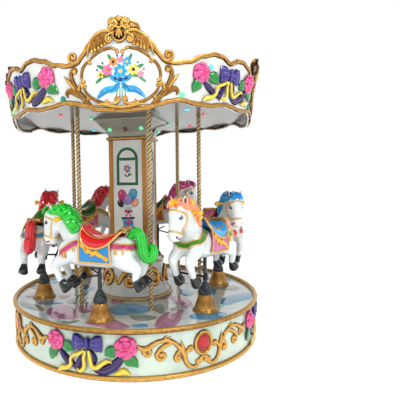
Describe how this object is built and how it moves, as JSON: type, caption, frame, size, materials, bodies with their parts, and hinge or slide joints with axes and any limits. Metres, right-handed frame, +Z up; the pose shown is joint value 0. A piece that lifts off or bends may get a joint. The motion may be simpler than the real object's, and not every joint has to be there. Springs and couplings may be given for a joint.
{
  "type": "fairground carousel",
  "caption": "Small fibreglass carousel with a round drum, turning deck and crown, twisted gold poles and galloping horses that rise and fall on rods.",
  "frame": {"origin": "centre of the drum's underside, on the floor", "axes": "+Z up along the turning axis; the pictured front faces -Y"},
  "size_m": [2.2128, 2.2128, 2.735],
  "materials": {
    "white_gelcoat": "glossy sprayed gelcoat on fibreglass, with painted reliefs",
    "deck_gelcoat": "high-gloss gelcoat with mauve, blue and grey-green patches",
    "ceiling_gelcoat": "glossy grey-white gelcoat",
    "horse_gelcoat": "glossy clear-coated fibreglass, painted mane, tail, saddle and harness",
    "gold_paint": "antique gold paint, satin gloss",
    "black_steel": "black enamelled steel",
    "boot_rubber": "creased dark grey coated boot",
    "handle_paint": "yellow enamel, glossy"
  },
  "bodies": {
    "drum": {"base_frame": "black_steel", "drum_bottom_bead": "gold_paint", "drum_skirt": "white_gelcoat"},
    "turntable": {"deck": "deck_gelcoat", "deck_rim_bead": "gold_paint", "column_foot": "white_gelcoat", "foot_ring": "gold_paint", "foot_collar": "gold_paint", "column_shaft": "white_gelcoat", "column_cornice": "gold_paint", "capital": "white_gelcoat", "canopy_ceiling": "ceiling_gelcoat", "canopy_crown": "white_gelcoat", "canopy_finial": "gold_paint", "pole_1": "gold_paint", "pole_2": "gold_paint", "pole_3": "gold_paint", "pole_4": "gold_paint", "pole_5": "gold_paint", "pole_6": "gold_paint", "bell_1": "gold_paint", "bell_2": "gold_paint", "bell_3": "gold_paint", "bell_4": "gold_paint", "bell_5": "gold_paint", "bell_6": "gold_paint", "boot_1": "boot_rubber", "boot_2": "boot_rubber", "boot_3": "boot_rubber", "boot_4": "boot_rubber", "boot_5": "boot_rubber", "boot_6": "boot_rubber"},
    "seat_1": {"horse_1": "horse_gelcoat", "rod_1": "black_steel", "handle_1": "handle_paint"},
    "seat_2": {"horse_2": "horse_gelcoat", "rod_2": "black_steel", "handle_2": "handle_paint"},
    "seat_3": {"horse_3": "horse_gelcoat", "rod_3": "black_steel", "handle_3": "handle_paint"},
    "seat_4": {"horse_4": "horse_gelcoat", "rod_4": "black_steel", "handle_4": "handle_paint"},
    "seat_5": {"horse_5": "horse_gelcoat", "rod_5": "black_steel", "handle_5": "handle_paint"},
    "seat_6": {"horse_6": "horse_gelcoat", "rod_6": "black_steel", "handle_6": "handle_paint"}
  },
  "joints": [
    {"name": "turntable_spin", "type": "hinge", "parent": "drum", "child": "turntable", "pos_m": [0, 0, 0.26], "axis": [0, 0, 1], "continuous": true},
    {"name": "seat_1_rise", "type": "slide", "parent": "turntable", "child": "seat_1", "axis": [0, 0, 1], "range_m": [0, 0.15]},
    {"name": "seat_2_rise", "type": "slide", "parent": "turntable", "child": "seat_2", "axis": [0, 0, 1], "range_m": [-0.027, 0.123]},
    {"name": "seat_3_rise", "type": "slide", "parent": "turntable", "child": "seat_3", "axis": [0, 0, 1], "range_m": [-0.04, 0.11]},
    {"name": "seat_4_rise", "type": "slide", "parent": "turntable", "child": "seat_4", "axis": [0, 0, 1], "range_m": [-0.12, 0.03]},
    {"name": "seat_5_rise", "type": "slide", "parent": "turntable", "child": "seat_5", "axis": [0, 0, 1], "range_m": [-0.092, 0.058]},
    {"name": "seat_6_rise", "type": "slide", "parent": "turntable", "child": "seat_6", "axis": [0, 0, 1], "range_m": [-0.05, 0.1]}
  ]
}
